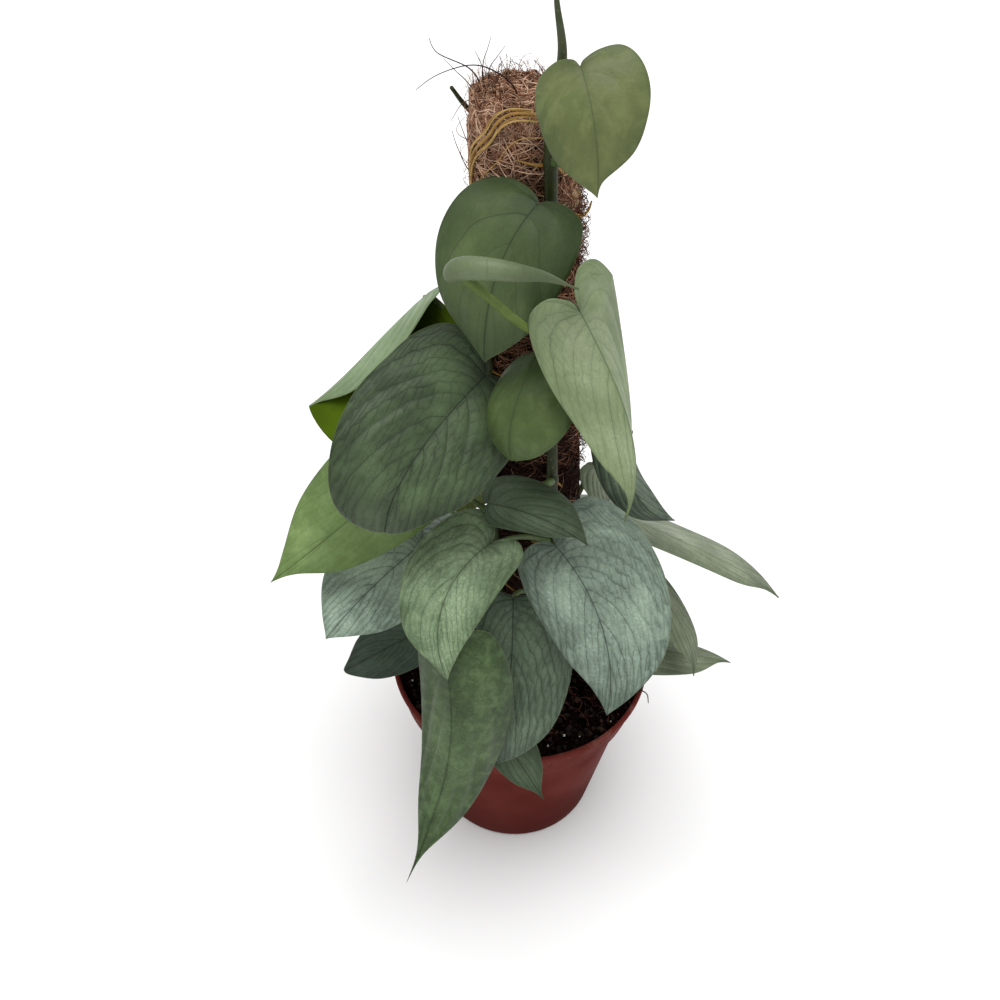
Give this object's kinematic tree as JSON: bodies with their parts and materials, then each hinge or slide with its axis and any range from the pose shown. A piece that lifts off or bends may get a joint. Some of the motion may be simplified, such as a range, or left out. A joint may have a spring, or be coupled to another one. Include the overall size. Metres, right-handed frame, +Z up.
{
  "type": "potted climbing plant",
  "caption": "Potted climbing aroid with silvery heart-shaped leaves on a coir pole, in a round terracotta-coloured plastic nursery pot.",
  "frame": {"origin": "middle of the pot's flat base, on the surface that the pot stands on", "axes": "+Z upwards, -Y towards the plant's front, +X to the right of one who looks at the front"},
  "size_m": [0.2545, 0.2396, 0.511],
  "materials": {
    "terracotta_plastic": "satin",
    "potting_soil": "rough",
    "coir": "rough",
    "green_stem": "satin",
    "air_root": "rough",
    "young_leaf": "satin",
    "silver_leaf": "satin"
  },
  "bodies": {
    "root": {"pot": "terracotta_plastic", "soil": "potting_soil", "coir_pole": "coir", "vine_front": "green_stem", "vine_left": "green_stem", "vine_right": "green_stem", "vine_back": "green_stem", "air_roots": "air_root", "new_leaf_spike": "young_leaf", "rolled_leaf": "young_leaf", "leaf_top_right": "young_leaf", "leaf_upper_left": "silver_leaf", "leaf_long_right": "silver_leaf", "leaf_small_round": "young_leaf", "leaf_folded_left": "silver_leaf", "leaf_large_left": "silver_leaf", "leaf_pointed_left": "young_leaf", "leaf_silver_left": "silver_leaf", "leaf_dark_left": "silver_leaf", "leaf_middle_heart": "silver_leaf", "leaf_dark_middle": "silver_leaf", "leaf_silver_front": "silver_leaf", "leaf_lower_front": "silver_leaf", "leaf_hanging_front": "silver_leaf", "leaf_small_front": "silver_leaf", "leaf_folded_right": "silver_leaf", "leaf_long_point_right": "silver_leaf", "leaf_lower_right": "silver_leaf", "leaf_lowest_right": "silver_leaf", "leaf_yellow_behind": "young_leaf", "leaf_pale_behind": "silver_leaf", "leaf_back_top": "silver_leaf", "leaf_back_upper_left": "silver_leaf", "leaf_back_upper_right": "silver_leaf", "leaf_back_middle_left": "silver_leaf", "leaf_back_middle_right": "silver_leaf", "leaf_back_middle": "silver_leaf", "leaf_back_left": "silver_leaf", "leaf_back_low_left": "silver_leaf", "leaf_back_low_right": "silver_leaf"}
  },
  "joints": []
}
